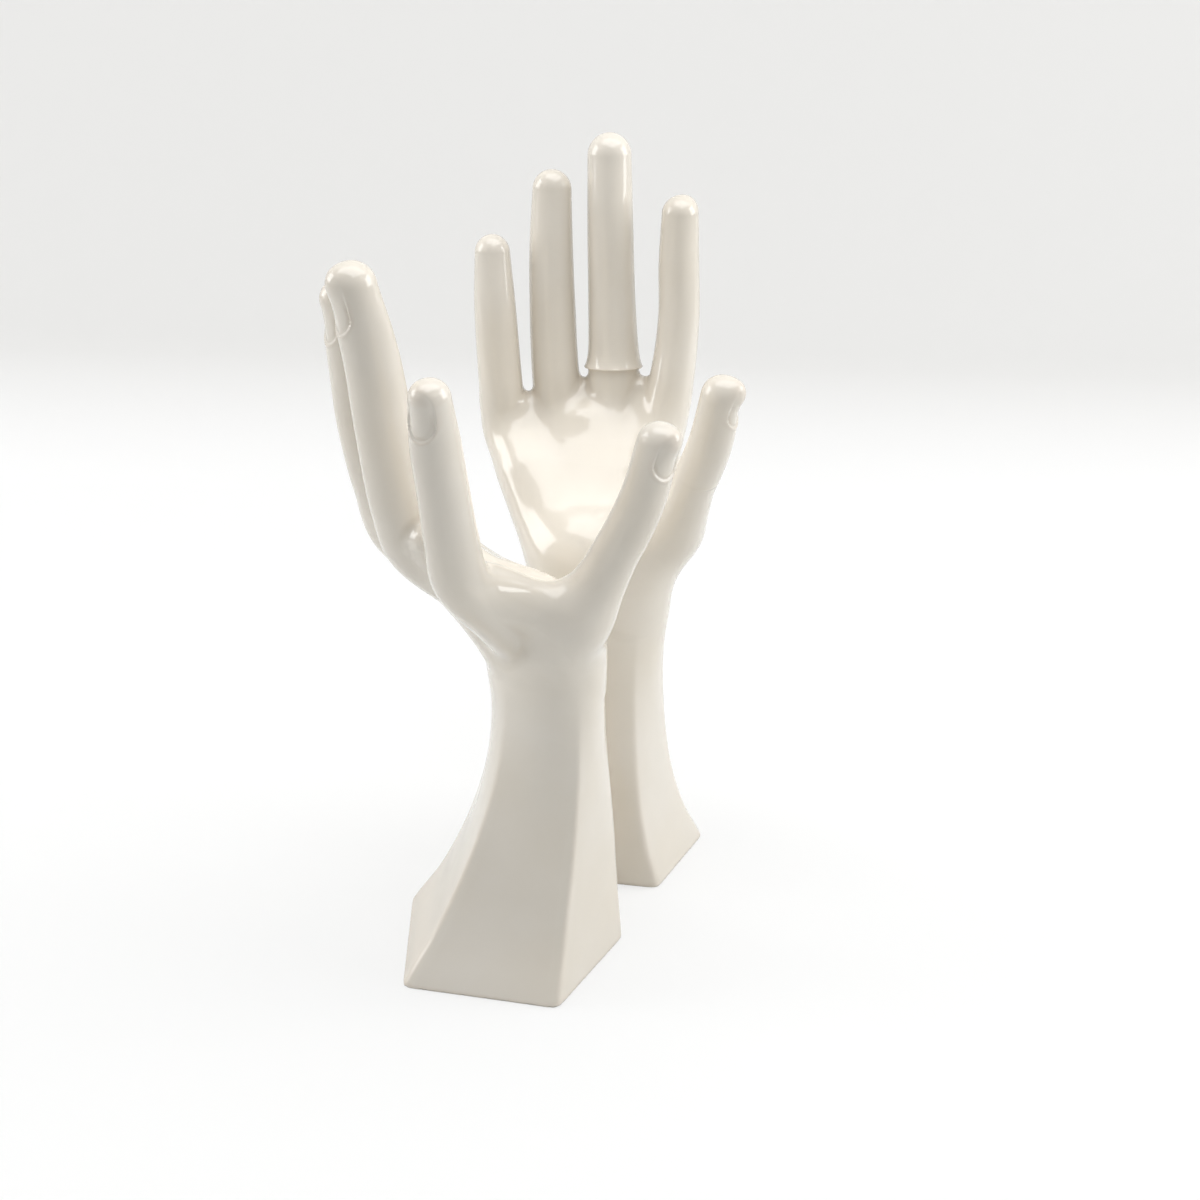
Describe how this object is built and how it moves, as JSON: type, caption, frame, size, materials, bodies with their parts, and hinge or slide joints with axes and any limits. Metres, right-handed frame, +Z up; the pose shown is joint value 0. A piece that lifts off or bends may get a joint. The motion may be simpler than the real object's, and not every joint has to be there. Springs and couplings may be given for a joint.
{
  "type": "ceramic hand sculpture",
  "caption": "Pair of free-standing glazed ceramic hands, left and right, each raised upright on a flared hollow foot, with digits luted to a cast palm.",
  "frame": {"origin": "middle of the pair's bounding box, on the plane that both feet stand on", "axes": "+Z up along the forearms, +X to the right and +Y to the back as the pair is seen from in front, with the left hand in front"},
  "size_m": [0.145, 0.1886, 0.28],
  "materials": {
    "glaze": "gloss"
  },
  "bodies": {
    "left_hand": {"left_body_casting": "glaze", "left_thumb": "glaze", "left_index_finger": "glaze", "left_middle_finger": "glaze", "left_ring_finger": "glaze", "left_little_finger": "glaze"},
    "right_hand": {"right_body_casting": "glaze", "right_thumb": "glaze", "right_index_finger": "glaze", "right_middle_finger": "glaze", "right_ring_finger": "glaze", "right_little_finger": "glaze"}
  },
  "joints": [
    {"name": "right_hand_lift", "type": "slide", "parent": "left_hand", "child": "right_hand", "axis": [0, 0, 1], "range_m": [0, 0.3]}
  ]
}
